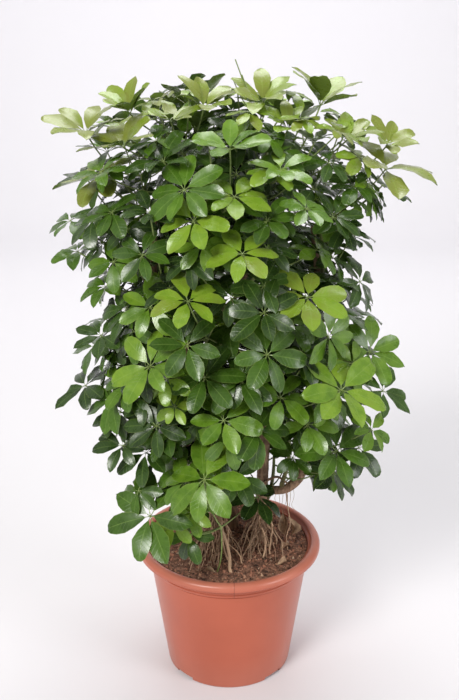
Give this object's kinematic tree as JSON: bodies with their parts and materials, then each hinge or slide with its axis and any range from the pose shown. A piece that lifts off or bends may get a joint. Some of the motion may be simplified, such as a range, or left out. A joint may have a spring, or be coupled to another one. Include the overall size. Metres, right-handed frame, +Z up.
{
  "type": "potted umbrella plant",
  "caption": "Dwarf umbrella plant: a dense bush of glossy leaflet whorls on woody stems with aerial roots, in a round nursery pot with a rolled rim.",
  "frame": {"origin": "Centre of the flat pad under the pot, which the plant stands on.", "axes": "+Z up along the stems, -Y the front as pictured, +X to the viewer's right."},
  "size_m": [0.6192, 0.543, 1.0988],
  "materials": {
    "pot_plastic": "satin",
    "soil": "matte",
    "bark": "matte",
    "leaf_mature": "satin",
    "leaf_young": "satin"
  },
  "bodies": {
    "root": {"pot": "pot_plastic", "soil": "soil", "stem_main": "bark", "stem_left": "bark", "stem_middle": "bark", "stem_right": "bark", "shoot_01": "leaf_young", "shoot_02": "leaf_mature", "shoot_03": "leaf_mature", "shoot_04": "leaf_young", "shoot_05": "leaf_mature", "shoot_06": "leaf_mature", "shoot_07": "leaf_young", "shoot_08": "leaf_mature", "shoot_09": "leaf_mature", "shoot_10": "leaf_young", "shoot_11": "leaf_mature", "shoot_12": "leaf_mature", "shoot_13": "leaf_young", "shoot_14": "leaf_mature", "shoot_15": "leaf_mature", "shoot_16": "leaf_young", "shoot_17": "leaf_mature", "shoot_18": "leaf_mature", "shoot_19": "leaf_young", "shoot_20": "leaf_mature", "shoot_21": "leaf_mature", "shoot_22": "leaf_young", "shoot_23": "leaf_mature", "shoot_24": "leaf_mature", "shoot_25": "leaf_young", "shoot_26": "leaf_mature", "shoot_27": "leaf_mature", "shoot_28": "leaf_young", "shoot_29": "leaf_mature", "shoot_30": "leaf_mature", "shoot_31": "leaf_young", "shoot_32": "leaf_mature", "shoot_33": "leaf_mature", "shoot_34": "leaf_young", "shoot_35": "leaf_mature", "shoot_36": "leaf_mature"}
  },
  "joints": []
}
